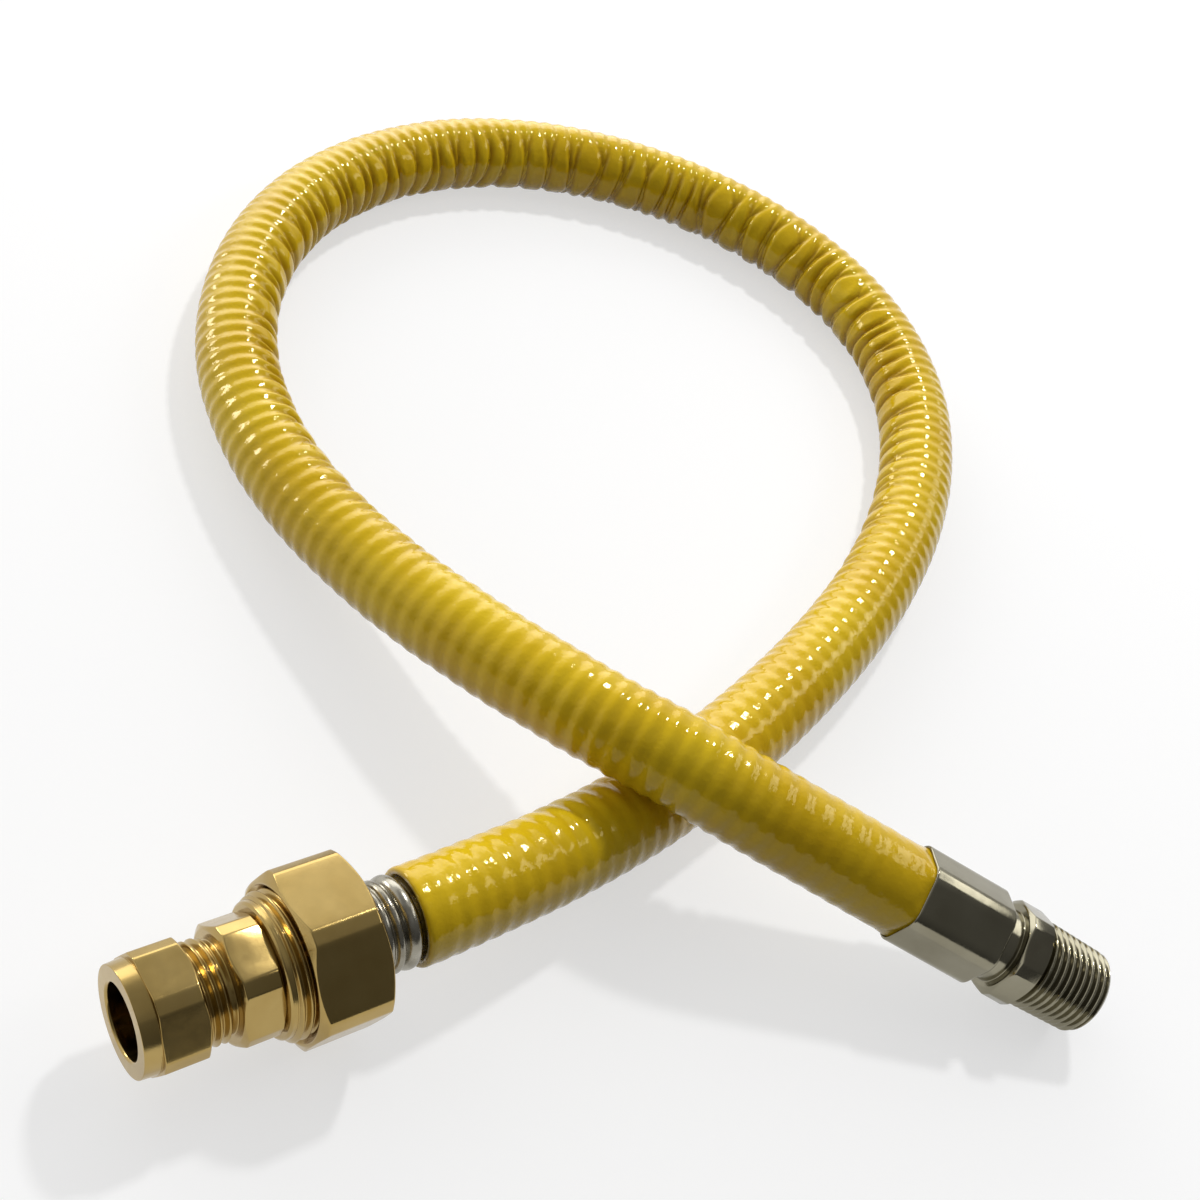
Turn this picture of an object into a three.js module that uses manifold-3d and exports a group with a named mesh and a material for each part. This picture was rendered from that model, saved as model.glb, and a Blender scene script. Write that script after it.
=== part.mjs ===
// A yellow flexible gas hose. A stainless corrugated tube runs inside a ribbed plastic cover.
// One end has a brass union with a compression fitting for 15 mm copper pipe. The other end
// has a plated nipple with a taper pipe thread, held in a ferrule crimped to a hexagon.
// Millimetres, +Z up. The hose lies on the surface z = 0, and the brass fitting's axis is +X.
import * as THREE from "three";
import { mergeVertices } from "three/addons/utils/BufferGeometryUtils.js";
import Module from "manifold-3d";

const wasm = await Module();
wasm.setup();

// Fits between pieces
const CLEARANCE = 0.3;
const OVERLAP = 0.5;
const THREAD_CLEARANCE = 0.3;

// The pipe that the compression fitting takes, and the passage for the gas
const PIPE_BORE = 15.2;
const GAS_BORE = 13.4;

// Compression nut
const NUT_LENGTH = 12.9;
const NUT_COLLAR_LENGTH = 3.4;
const NUT_MOUTH_DIAMETER = 22.2;
const NUT_COLLAR_DIAMETER = 23;
const NUT_LIP = 1.3;
const NUT_SEAT_RUN = 1.2;
const NUT_AF = 23.4;
const NUT_ROLL = 113.6;

// Olive, the brass ring that is squeezed onto the pipe
const OLIVE_LENGTH = 6.5;
const OLIVE_BAND = 2.5;
const OLIVE_DIAMETER = 17.4;
const OLIVE_EDGE_WALL = 0.4;

// Adapter body, with the small thread for the nut and the large one for the union
const BODY_AF = 23.8;
const BODY_HEX_LENGTH = 8.6;
const BODY_ROLL = 124.6;
const MOUTH_SETBACK = 0.5;
const PIPE_DEPTH = 15.2;
const SMALL_THREAD_LENGTH = 10.9;
const SMALL_THREAD = 20.955;
const SMALL_THREAD_DEPTH = 1.16;
const LARGE_THREAD = 30.2;
const LARGE_THREAD_DEPTH = 1.16;
const LARGE_THREAD_LENGTH = 11.2;
const THREAD_RELIEF = 1.1;
const THREAD_LEAD = 1;

// Sealing washer
const WASHER_THICKNESS = 2;
const WASHER_PLAY = 0.5;
const WASHER_BORE = 15.8;

// Union nut
const UNION_ENGAGEMENT = 6.8;
const UNION_AF = 34;
const UNION_LIP = 3;
const UNION_ROLL = 107.1;

// Stainless tube: a flattened flange, a valley for the split ring, then close ridges up to the cover
const FLANGE_THICKNESS = 1.2;
const FLANGE_DIAMETER = 24.4;
const BARE_LENGTH = 11.7;
const RIDGE_DIAMETER = 19.2;
const RIDGE_DEPTH = 0.95;
const RIDGE_PITCH = 2;
const TUBE_WALL = 1.2;

// Split ring that stops the union nut on the tube
const RING_THICKNESS = 2;
const RING_STEP = 0.6;
const RING_GAP = 2.5;

// Plastic cover
const COVER_DIAMETER = 21.5;
const COVER_WALL = 1.45;
const CRIMP_RUN = 3;
const CRIMP_DEPTH = 14;

// Ferrule, crimped to a hexagon with round corners
const FERRULE_LENGTH = 22.6;
const FERRULE_AF = 21.8;
const FERRULE_CORNER = 4.8;
const FERRULE_WALL = 0.7;
const FERRULE_LIP = 3.8;
const FERRULE_BEVEL = 1.4;
const FERRULE_ROLL = 156;

// Nipple
const NECK_DIAMETER = 18;
const NECK_LENGTH = 4.2;
const NIPPLE_HEX_LENGTH = 7;
const NIPPLE_AF = 22;
const NIPPLE_ROLL = 145;
const TAPER_THREAD = 21.3;
const TAPER_THREAD_LENGTH = 18.2;
const TAPER_THREAD_DEPTH = 1.16;
const TAPER = 1 / 16;
const NIPPLE_BORE = 14.6;

// Hexagon corners are bevelled, and the ends of every hexagon are turned to a cone
const CORNER_BEVEL = 3.2;
const END_CONE_DEGREES = 30;
const EDGE = 0.8;

// Where the two fittings lie: the nut's mouth on the brass axis, and the open end of the ferrule
const NUT_MOUTH = [-106.3, 30.1, 18.35];
const FERRULE_EDGE = [63.5, -7.3, 21.25];
const FERRULE_HEADING = -44.7;
const FERRULE_SLOPE = 12.9;

// The hose's centre line between the two fittings
const ROUTE = [
  [-28.9, 31.1, 17.1],
  [-2.9, 34.2, 13.6],
  [24.1, 39, 11.2],
  [51.6, 46.1, 10.8],
  [78.1, 54.9, 10.8],
  [104.1, 65.7, 10.8],
  [129.1, 78.8, 10.8],
  [152.1, 94.7, 10.8],
  [172.4, 114, 10.8],
  [188.3, 136.7, 10.8],
  [197.4, 163, 10.8],
  [197.3, 190.7, 10.8],
  [188.1, 217, 10.8],
  [171.5, 239.4, 10.8],
  [149.7, 256.6, 10.8],
  [124.1, 267.8, 10.8],
  [96.5, 271.8, 10.8],
  [68.9, 268.5, 10.8],
  [42.9, 258.3, 10.8],
  [20.5, 241.8, 10.8],
  [2.8, 220.2, 10.8],
  [-9.1, 195, 11],
  [-13.9, 167.5, 11.9],
  [-12.9, 139.5, 14.5],
  [-8.1, 112.4, 19],
  [-1.1, 86, 25],
  [8.5, 60.3, 30.8],
  [14.7, 47.8, 32.8],
  [22.3, 36.2, 33.3],
  [30.9, 25.1, 31.9],
  [46.6, 9.1, 26.9],
];

// Fineness
const TURN_SEGMENTS = 24;
const HOSE_SIDES = 10;
const HOSE_STEPS = 46;
const RIDGE_SAMPLES = 4;

const BRASS = { color: 0xb99a52, roughness: 0.3, metalness: 1 };
const STEEL = { color: 0xb9b6ad, roughness: 0.25, metalness: 1 };
const NICKEL = { color: 0x8f8d83, roughness: 0.18, metalness: 1 };
const YELLOW_PLASTIC = { color: 0xd9b414, roughness: 0.25, metalness: 0 };
const FIBRE = { color: 0x2f5d50, roughness: 0.8, metalness: 0 };

// A closed three.js geometry as a solid that can be joined and cut
function solid(geometry) {
  geometry.deleteAttribute("normal");
  geometry.deleteAttribute("uv");
  const merged = mergeVertices(geometry, 1e-4);
  const vertProperties = new Float32Array(merged.attributes.position.array);
  const triVerts = new Uint32Array(merged.index.array);
  return new wasm.Manifold(new wasm.Mesh({ numProp: 3, vertProperties, triVerts }));
}

// A solid back as a three.js geometry
function geometryOf(body) {
  const mesh = body.getMesh();
  const geometry = new THREE.BufferGeometry();
  geometry.setAttribute("position", new THREE.BufferAttribute(mesh.vertProperties, 3));
  geometry.setIndex(new THREE.BufferAttribute(mesh.triVerts, 1));
  return geometry;
}

function piece(name, body, finish) {
  const material = new THREE.MeshStandardMaterial({ ...finish, flatShading: true });
  const mesh = new THREE.Mesh(geometryOf(body), material);
  mesh.name = name;
  return mesh;
}

// A turned solid about the X axis. The profile lists [x, radius] pairs, outer side first.
function turned(profile) {
  const points = profile.map(([x, radius]) => new THREE.Vector2(radius, x));
  return solid(new THREE.LatheGeometry(points, TURN_SEGMENTS).rotateZ(-Math.PI / 2));
}

// A turned solid that runs in to the axis at both ends
function turnedBar(profile) {
  const first = profile[0][0];
  const last = profile[profile.length - 1][0];
  return turned([[first, 0], ...profile, [last, 0]]);
}

// A turned ring: the outer side from low to high x, then the bore back
function turnedRing(outer, bore) {
  const back = [...bore].reverse();
  return turned([...outer, ...back, outer[0]]);
}

function plainRing(start, end, outerRadius, innerRadius) {
  const outer = [[start, outerRadius], [end, outerRadius]];
  return turnedRing(outer, [[start, innerRadius], [end, innerRadius]]);
}

// A prism along X from an outline in the YZ plane, where an angle is measured from +Y towards +Z
function prism(outline, start, length) {
  const shape = new THREE.Shape(outline.map(([y, z]) => new THREE.Vector2(-z, y)));
  const geometry = new THREE.ExtrudeGeometry(shape, { depth: length, bevelEnabled: false, steps: 1 });
  return solid(geometry.rotateY(Math.PI / 2).translate(start, 0, 0));
}

function polar(radius, degrees) {
  const angle = THREE.MathUtils.degToRad(degrees);
  return [radius * Math.cos(angle), radius * Math.sin(angle)];
}

// A hexagon across flats with one corner at the roll angle, and every corner cut to a narrow flat
function bevelledHexagon(acrossFlats, roll) {
  const sharp = acrossFlats / 2 / Math.cos(Math.PI / 6);
  const cut = CORNER_BEVEL / 2 / Math.tan(Math.PI / 3);
  const reach = Math.hypot(sharp - cut, CORNER_BEVEL / 2);
  const half = THREE.MathUtils.radToDeg(Math.atan2(CORNER_BEVEL / 2, sharp - cut));
  const outline = [];
  for (let corner = 0; corner < 6; corner++) {
    outline.push(polar(reach, roll + corner * 60 - half));
    outline.push(polar(reach, roll + corner * 60 + half));
  }
  return outline;
}

// The same hexagon with round corners
function roundedHexagon(acrossFlats, cornerRadius, roll) {
  const reach = (acrossFlats / 2 - cornerRadius) / Math.cos(Math.PI / 6);
  const outline = [];
  for (let corner = 0; corner < 6; corner++) {
    const [y, z] = polar(reach, roll + corner * 60);
    for (const lean of [-30, -10, 10, 30]) {
      const [dy, dz] = polar(cornerRadius, roll + corner * 60 + lean);
      outline.push([y + dy, z + dz]);
    }
  }
  return outline;
}

// A hexagon bar whose two ends are turned down to a cone that leaves a round face
function chamferedHex(acrossFlats, roll, start, length) {
  const flat = acrossFlats / 2;
  const corner = flat / Math.cos(Math.PI / 6);
  const face = flat - EDGE / 2;
  const cone = (corner - face) * Math.tan(THREE.MathUtils.degToRad(END_CONE_DEGREES));
  const end = start + length;
  const envelope = turnedBar([
    [start, face],
    [start + cone, corner],
    [end - cone, corner],
    [end, face],
  ]);
  return prism(bevelledHexagon(acrossFlats, roll), start, length).intersect(envelope);
}

// The seats in the nut and in the body are cones parallel to the olive's, a clearance away
const OLIVE_CONE_LENGTH = (OLIVE_LENGTH - OLIVE_BAND) / 2;
const OLIVE_CONE_RISE = OLIVE_DIAMETER / 2 - PIPE_BORE / 2 - OLIVE_EDGE_WALL;
const SEAT_SLOPE = OLIVE_CONE_RISE / OLIVE_CONE_LENGTH;
const SEAT_AT_BAND = OLIVE_DIAMETER / 2 + CLEARANCE;

// Places along the brass axis, from the nut's mouth
const BAND_START = NUT_LIP + (SEAT_AT_BAND - PIPE_BORE / 2) / SEAT_SLOPE;
const BAND_END = BAND_START + OLIVE_BAND;
const BODY_START = BAND_END + MOUTH_SETBACK;
const BODY_HEX_START = BODY_START + SMALL_THREAD_LENGTH;
const BODY_HEX_END = BODY_HEX_START + BODY_HEX_LENGTH;
const BODY_END = BODY_HEX_END + LARGE_THREAD_LENGTH;
const WASHER_START = BODY_END + CLEARANCE;
const WASHER_END = WASHER_START + WASHER_THICKNESS;
const FLANGE_START = WASHER_END + CLEARANCE;
const FLANGE_END = FLANGE_START + FLANGE_THICKNESS;
const RING_START = FLANGE_END + CLEARANCE;
const RING_END = RING_START + RING_THICKNESS;
const LIP_START = RING_END + CLEARANCE;
const UNION_START = BODY_END - UNION_ENGAGEMENT;
const UNION_END = LIP_START + UNION_LIP;
const COVER_START = UNION_END + BARE_LENGTH;
const RING_DIAMETER = FLANGE_DIAMETER + 2 * RING_STEP;

// Places along the nipple's axis, from the ferrule's open end
const FERRULE_CAVITY = FERRULE_LENGTH - FERRULE_LIP;
const NIPPLE_COLLAR_START = CRIMP_DEPTH + CLEARANCE;
const NIPPLE_COLLAR_END = FERRULE_CAVITY - CLEARANCE;
const NIPPLE_HEX_START = FERRULE_LENGTH + NECK_LENGTH;
const NIPPLE_HEX_END = NIPPLE_HEX_START + NIPPLE_HEX_LENGTH;
const NIPPLE_END = NIPPLE_HEX_END + TAPER_THREAD_LENGTH;

// What fits inside the crimped hexagon
const FERRULE_INNER_AF = FERRULE_AF - 2 * FERRULE_WALL;
const CRIMPED_RADIUS = FERRULE_INNER_AF / 2 - CLEARANCE;

function compressionNut() {
  const collar = NUT_COLLAR_DIAMETER / 2;
  const pipe = PIPE_BORE / 2;
  const thread = SMALL_THREAD / 2 + THREAD_CLEARANCE;
  const seatEnd = BAND_START + NUT_SEAT_RUN;
  const hex = chamferedHex(NUT_AF, NUT_ROLL, NUT_COLLAR_LENGTH, NUT_LENGTH - NUT_COLLAR_LENGTH);
  const front = turnedBar([
    [0, NUT_MOUTH_DIAMETER / 2],
    [NUT_COLLAR_LENGTH + OVERLAP, collar],
  ]);
  const bore = turnedBar([
    [-OVERLAP, pipe],
    [NUT_LIP, pipe],
    [seatEnd, SEAT_AT_BAND + NUT_SEAT_RUN * SEAT_SLOPE],
    [seatEnd, thread],
    [NUT_LENGTH + OVERLAP, thread],
  ]);
  return hex.add(front).subtract(bore);
}

function olive() {
  const pipe = PIPE_BORE / 2;
  const edge = pipe + OLIVE_EDGE_WALL;
  const band = OLIVE_DIAMETER / 2;
  const start = BAND_START - OLIVE_CONE_LENGTH;
  const end = BAND_END + OLIVE_CONE_LENGTH;
  const outer = [
    [start, edge],
    [BAND_START, band],
    [BAND_END, band],
    [end, edge],
  ];
  return turnedRing(outer, [[start, pipe], [end, pipe]]);
}

function adapterBody() {
  const small = SMALL_THREAD / 2;
  const large = LARGE_THREAD / 2;
  const stem = turnedBar([
    [BODY_START, small - SMALL_THREAD_DEPTH],
    [BODY_START + THREAD_LEAD, small],
    [BODY_HEX_START - THREAD_RELIEF, small],
    [BODY_HEX_START - THREAD_RELIEF, small - SMALL_THREAD_DEPTH],
    [BODY_HEX_START + OVERLAP, small - SMALL_THREAD_DEPTH],
  ]);
  const boss = turnedBar([
    [BODY_HEX_END - OVERLAP, large - LARGE_THREAD_DEPTH],
    [BODY_HEX_END + THREAD_RELIEF, large - LARGE_THREAD_DEPTH],
    [BODY_HEX_END + THREAD_RELIEF, large],
    [BODY_END - THREAD_LEAD, large],
    [BODY_END, large - LARGE_THREAD_DEPTH],
  ]);
  const hex = chamferedHex(BODY_AF, BODY_ROLL, BODY_HEX_START, BODY_HEX_LENGTH);
  const pipe = PIPE_BORE / 2;
  const seatEnd = BAND_END + (SEAT_AT_BAND - pipe) / SEAT_SLOPE;
  const pipeStop = BODY_START + PIPE_DEPTH;
  const bore = turnedBar([
    [BAND_END, SEAT_AT_BAND],
    [seatEnd, pipe],
    [pipeStop, pipe],
    [pipeStop, GAS_BORE / 2],
    [BODY_END + OVERLAP, GAS_BORE / 2],
  ]);
  return stem.add(boss).add(hex).subtract(bore);
}

function sealingWasher() {
  const outer = LARGE_THREAD / 2 - LARGE_THREAD_DEPTH - WASHER_PLAY;
  return plainRing(WASHER_START, WASHER_END, outer, WASHER_BORE / 2);
}

function unionNut() {
  const hex = chamferedHex(UNION_AF, UNION_ROLL, UNION_START, UNION_END - UNION_START);
  const thread = LARGE_THREAD / 2 + THREAD_CLEARANCE;
  const seat = RING_DIAMETER / 2 + CLEARANCE;
  const tube = RIDGE_DIAMETER / 2 + CLEARANCE;
  const bore = turnedBar([
    [UNION_START - OVERLAP, thread + EDGE + OVERLAP],
    [UNION_START + EDGE, thread],
    [FLANGE_START, thread],
    [FLANGE_END, seat],
    [LIP_START, seat],
    [LIP_START, tube],
    [UNION_END + OVERLAP, tube],
  ]);
  return hex.subtract(bore);
}

const TUBE_RADIUS = coverBoreApothem() - CLEARANCE;
const TUBE_BORE = TUBE_RADIUS - TUBE_WALL;

// The hose section is a polygon, so its bore is tightest at the middle of a side
function coverBoreApothem() {
  return (COVER_DIAMETER / 2 - COVER_WALL) * Math.cos(Math.PI / HOSE_SIDES);
}

function retainingRing() {
  const ring = plainRing(RING_START, RING_END, RING_DIAMETER / 2, TUBE_RADIUS + CLEARANCE);
  const slot = new THREE.BoxGeometry(RING_THICKNESS + 2 * OVERLAP, RING_GAP, RING_DIAMETER);
  slot.translate((RING_START + RING_END) / 2, 0, RING_DIAMETER / 2);
  return ring.subtract(solid(slot));
}

// The bare end of the tube: flange, valley and ridges, turned as one piece
function bareTubeEnd() {
  const flange = FLANGE_DIAMETER / 2;
  const valley = TUBE_RADIUS;
  const crest = RIDGE_DIAMETER / 2;
  const outer = [
    [FLANGE_START, flange],
    [FLANGE_END, flange],
    [FLANGE_END, valley],
    [LIP_START, valley],
  ];
  const ridges = Math.floor((COVER_START - CLEARANCE - LIP_START) / RIDGE_PITCH);
  const lastRidge = LIP_START + ridges * RIDGE_PITCH;
  for (let i = 1; i < ridges * RIDGE_SAMPLES; i++) {
    const phase = i / RIDGE_SAMPLES;
    const swell = (1 - Math.cos(2 * Math.PI * phase)) / 2;
    outer.push([LIP_START + phase * RIDGE_PITCH, crest - RIDGE_DEPTH * (1 - swell)]);
  }
  outer.push([lastRidge, valley]);
  outer.push([COVER_START + OVERLAP, valley]);
  return turnedRing(outer, [[FLANGE_START, TUBE_BORE], [COVER_START + OVERLAP, TUBE_BORE]]);
}

// The placement of the two fittings
const brassPlace = new THREE.Matrix4().makeTranslation(...NUT_MOUTH);
const ferruleTurn = new THREE.Euler(
  0,
  THREE.MathUtils.degToRad(FERRULE_SLOPE),
  THREE.MathUtils.degToRad(FERRULE_HEADING),
  "ZYX",
);
const ferrulePlace = new THREE.Matrix4()
  .makeRotationFromEuler(ferruleTurn)
  .setPosition(...FERRULE_EDGE);

function onBrassAxis(x) {
  return new THREE.Vector3(x, 0, 0).applyMatrix4(brassPlace);
}

function onFerruleAxis(x) {
  return new THREE.Vector3(x, 0, 0).applyMatrix4(ferrulePlace);
}

// The centre line of the whole hose, straight where it enters each fitting
const SWEEP_START = COVER_START - 2 * OVERLAP;
const centreLine = new THREE.CatmullRomCurve3([
  onBrassAxis(SWEEP_START),
  onBrassAxis(COVER_START + CRIMP_RUN),
  ...ROUTE.map((point) => new THREE.Vector3(...point)),
  onFerruleAxis(0),
  onFerruleAxis(CRIMP_DEPTH),
]);
centreLine.arcLengthDivisions = 2000;

// A stretch of the centre line between two distances along it
class Stretch extends THREE.Curve {
  constructor(start, end) {
    super();
    this.start = start / centreLine.getLength();
    this.end = end / centreLine.getLength();
  }

  getPoint(t) {
    return centreLine.getPointAt(THREE.MathUtils.lerp(this.start, this.end, t));
  }
}

function circle(radius, sides) {
  return Array.from({ length: sides }, (_, i) => new THREE.Vector2(...polar(radius, (i * 360) / sides)));
}

// A plain tube swept along a stretch of the centre line
function sweptTube(outerRadius, innerRadius, start, end) {
  const section = new THREE.Shape(circle(outerRadius, HOSE_SIDES));
  section.holes.push(new THREE.Path(circle(innerRadius, HOSE_SIDES)));
  const options = { steps: HOSE_STEPS, bevelEnabled: false, extrudePath: new Stretch(start, end) };
  return solid(new THREE.ExtrudeGeometry(section, options));
}

function corrugatedTube() {
  const swept = sweptTube(TUBE_RADIUS, TUBE_BORE, 0, centreLine.getLength());
  return bareTubeEnd().transform(brassPlace.elements).add(swept);
}

// The cover's full-size length is swept, and its end inside the ferrule is squeezed thinner
function hoseCover() {
  const outer = COVER_DIAMETER / 2;
  const inner = outer - COVER_WALL;
  const crimpedInner = TUBE_RADIUS + CLEARANCE;
  const shoulder = outer * Math.cos(Math.PI / HOSE_SIDES);
  const end = centreLine.getLength() - CRIMP_DEPTH - CRIMP_RUN;
  const swept = sweptTube(outer, inner, COVER_START - SWEEP_START, end);
  const squeezed = turnedRing(
    [
      [-CRIMP_RUN - OVERLAP, shoulder],
      [-OVERLAP, shoulder],
      [OVERLAP, CRIMPED_RADIUS],
      [CRIMP_DEPTH, CRIMPED_RADIUS],
    ],
    [
      [-CRIMP_RUN - OVERLAP, crimpedInner],
      [CRIMP_DEPTH, crimpedInner],
    ],
  );
  return swept.add(squeezed.transform(ferrulePlace.elements));
}

function ferrule() {
  const corner = (FERRULE_AF / 2 - FERRULE_CORNER) / Math.cos(Math.PI / 6) + FERRULE_CORNER;
  const neck = NECK_DIAMETER / 2 + CLEARANCE;
  const hexagon = roundedHexagon(FERRULE_AF, FERRULE_CORNER, FERRULE_ROLL);
  const outside = prism(hexagon, 0, FERRULE_LENGTH);
  const envelope = turnedBar([
    [0, corner],
    [FERRULE_LENGTH - FERRULE_BEVEL, corner],
    [FERRULE_LENGTH, FERRULE_AF / 2 - FERRULE_BEVEL / 2],
  ]);
  const cavity = roundedHexagon(FERRULE_INNER_AF, FERRULE_CORNER - FERRULE_WALL, FERRULE_ROLL);
  const inside = prism(cavity, -OVERLAP, FERRULE_CAVITY + OVERLAP);
  const hole = turnedBar([[-OVERLAP, neck], [FERRULE_LENGTH + OVERLAP, neck]]);
  return outside.intersect(envelope).subtract(inside).subtract(hole);
}

function nipple() {
  const atHex = TAPER_THREAD / 2;
  const atEnd = atHex - (TAPER_THREAD_LENGTH * TAPER) / 2;
  const neck = NECK_DIAMETER / 2;
  const tail = turnedBar([
    [NIPPLE_COLLAR_START, CRIMPED_RADIUS],
    [NIPPLE_COLLAR_END, CRIMPED_RADIUS],
    [NIPPLE_COLLAR_END, neck],
    [NIPPLE_HEX_START + OVERLAP, neck],
  ]);
  const stem = turnedBar([
    [NIPPLE_HEX_END - OVERLAP, atHex - TAPER_THREAD_DEPTH],
    [NIPPLE_HEX_END + THREAD_RELIEF, atHex - TAPER_THREAD_DEPTH],
    [NIPPLE_HEX_END + THREAD_RELIEF, atHex],
    [NIPPLE_END - THREAD_LEAD, atEnd],
    [NIPPLE_END, atEnd - TAPER_THREAD_DEPTH],
  ]);
  const hex = chamferedHex(NIPPLE_AF, NIPPLE_ROLL, NIPPLE_HEX_START, NIPPLE_HEX_LENGTH);
  const bore = turnedBar([
    [NIPPLE_COLLAR_START - OVERLAP, NIPPLE_BORE / 2],
    [NIPPLE_END + OVERLAP, NIPPLE_BORE / 2],
  ]);
  return tail.add(stem).add(hex).subtract(bore);
}

// The brass end, each piece along one axis
const brassEnd = new THREE.Group();
brassEnd.add(piece("compression_nut", compressionNut(), BRASS));
brassEnd.add(piece("olive", olive(), BRASS));
brassEnd.add(piece("adapter_body", adapterBody(), BRASS));
brassEnd.add(piece("sealing_washer", sealingWasher(), FIBRE));
brassEnd.add(piece("union_nut", unionNut(), BRASS));
brassEnd.add(piece("retaining_ring", retainingRing(), STEEL));
brassEnd.applyMatrix4(brassPlace);

// The plated end
const nippleEnd = new THREE.Group();
nippleEnd.add(piece("ferrule", ferrule(), NICKEL));
nippleEnd.add(piece("nipple", nipple(), NICKEL));
nippleEnd.applyMatrix4(ferrulePlace);

const gasHose = new THREE.Group();
gasHose.add(brassEnd);
gasHose.add(piece("corrugated_tube", corrugatedTube(), STEEL));
gasHose.add(piece("hose_cover", hoseCover(), YELLOW_PLASTIC));
gasHose.add(nippleEnd);

export default gasHose;
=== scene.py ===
# A yellow flexible gas hose, lying in one loop on a pale floor.
import bpy
import math
import numpy as np
from mathutils import Matrix, Vector


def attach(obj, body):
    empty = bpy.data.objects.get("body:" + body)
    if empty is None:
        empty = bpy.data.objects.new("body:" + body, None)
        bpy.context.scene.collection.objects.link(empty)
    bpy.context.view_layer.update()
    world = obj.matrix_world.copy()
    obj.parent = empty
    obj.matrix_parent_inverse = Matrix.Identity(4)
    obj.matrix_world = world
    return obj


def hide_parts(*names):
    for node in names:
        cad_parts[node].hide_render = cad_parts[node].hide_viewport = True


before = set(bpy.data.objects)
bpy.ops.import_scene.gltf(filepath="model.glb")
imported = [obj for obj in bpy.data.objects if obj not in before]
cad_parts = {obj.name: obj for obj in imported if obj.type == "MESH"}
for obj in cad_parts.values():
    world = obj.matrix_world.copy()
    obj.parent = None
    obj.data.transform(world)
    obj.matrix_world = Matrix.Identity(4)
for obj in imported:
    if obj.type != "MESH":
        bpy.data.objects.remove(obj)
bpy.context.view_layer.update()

# Camera
# The camera looks down on the hose from beyond its brass end, as the photograph does.
FOCAL_PIXELS = 1720
PICTURE_PIXELS = 1200
camera_place = Vector((-0.18863, -0.10040, 0.31890))
camera_right = Vector((0.81189, -0.50195, 0.29812))
camera_down = Vector((-0.22072, -0.73666, -0.63924))
camera_look = Vector((0.54047, 0.45319, -0.70888))
camera_data = bpy.data.cameras.new("camera")
camera_data.sensor_width = 36
camera_data.lens = FOCAL_PIXELS / PICTURE_PIXELS * camera_data.sensor_width
camera_data.clip_start = 0.01
camera = bpy.data.objects.new("camera", camera_data)
bpy.context.scene.collection.objects.link(camera)
camera.matrix_world = Matrix.Translation(camera_place) @ Matrix(
    (camera_right, -camera_down, -camera_look)
).transposed().to_4x4()
bpy.context.scene.camera = camera

# The line of the hose
# The hose keeps its own stiffness: it leaves each fitting straight, lies on the floor
# round the loop, and rides over itself once where it comes back.
MM = 0.001
BRASS_AXIS_START = Vector((-0.1063, 0.0301, 0.01835))
FERRULE_EDGE = Vector((0.0635, -0.0073, 0.02125))
FERRULE_TURN = Matrix.Rotation(math.radians(-44.7), 3, "Z") @ Matrix.Rotation(
    math.radians(12.9), 3, "Y"
)
COVER_START = 60.1 * MM
LEAD_IN = 1 * MM
CRIMP_RUN = 3 * MM
CRIMP_DEPTH = 14 * MM
ROUTE = [
    (-0.0289, 0.0311, 0.0171),
    (-0.0029, 0.0342, 0.0136),
    (0.0241, 0.0390, 0.0112),
    (0.0516, 0.0461, 0.0108),
    (0.0781, 0.0549, 0.0108),
    (0.1041, 0.0657, 0.0108),
    (0.1291, 0.0788, 0.0108),
    (0.1521, 0.0947, 0.0108),
    (0.1724, 0.1140, 0.0108),
    (0.1883, 0.1367, 0.0108),
    (0.1974, 0.1630, 0.0108),
    (0.1973, 0.1907, 0.0108),
    (0.1881, 0.2170, 0.0108),
    (0.1715, 0.2394, 0.0108),
    (0.1497, 0.2566, 0.0108),
    (0.1241, 0.2678, 0.0108),
    (0.0965, 0.2718, 0.0108),
    (0.0689, 0.2685, 0.0108),
    (0.0429, 0.2583, 0.0108),
    (0.0205, 0.2418, 0.0108),
    (0.0028, 0.2202, 0.0108),
    (-0.0091, 0.1950, 0.0110),
    (-0.0139, 0.1675, 0.0119),
    (-0.0129, 0.1395, 0.0145),
    (-0.0081, 0.1124, 0.0190),
    (-0.0011, 0.0860, 0.0250),
    (0.0085, 0.0603, 0.0308),
    (0.0147, 0.0478, 0.0328),
    (0.0223, 0.0362, 0.0333),
    (0.0309, 0.0251, 0.0319),
    (0.0466, 0.0091, 0.0269),
]


def on_brass_axis(x):
    return BRASS_AXIS_START + Vector((x, 0, 0))


def on_ferrule_axis(x):
    return FERRULE_EDGE + FERRULE_TURN @ Vector((x, 0, 0))


def smooth_line(points, steps):
    """A centripetal Catmull-Rom curve through the points."""
    p = np.array(points, float)
    p = np.vstack([2 * p[0] - p[1], p, 2 * p[-1] - p[-2]])
    t = np.linspace(0, 1, steps, endpoint=False)[:, None]
    line = []
    for a, b, c, d in zip(p, p[1:], p[2:], p[3:]):
        ab, bc, cd = (np.linalg.norm(v) ** 0.5 for v in (b - a, c - b, d - c))
        leave = ((b - a) / ab - (c - a) / (ab + bc) + (c - b) / bc) * bc
        arrive = ((c - b) / bc - (d - b) / (bc + cd) + (d - c) / cd) * bc
        curve = b + leave * t + (3 * (c - b) - 2 * leave - arrive) * t**2
        line.append(curve + (2 * (b - c) + leave + arrive) * t**3)
    return np.vstack(line + [p[-2:-1]])


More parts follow.
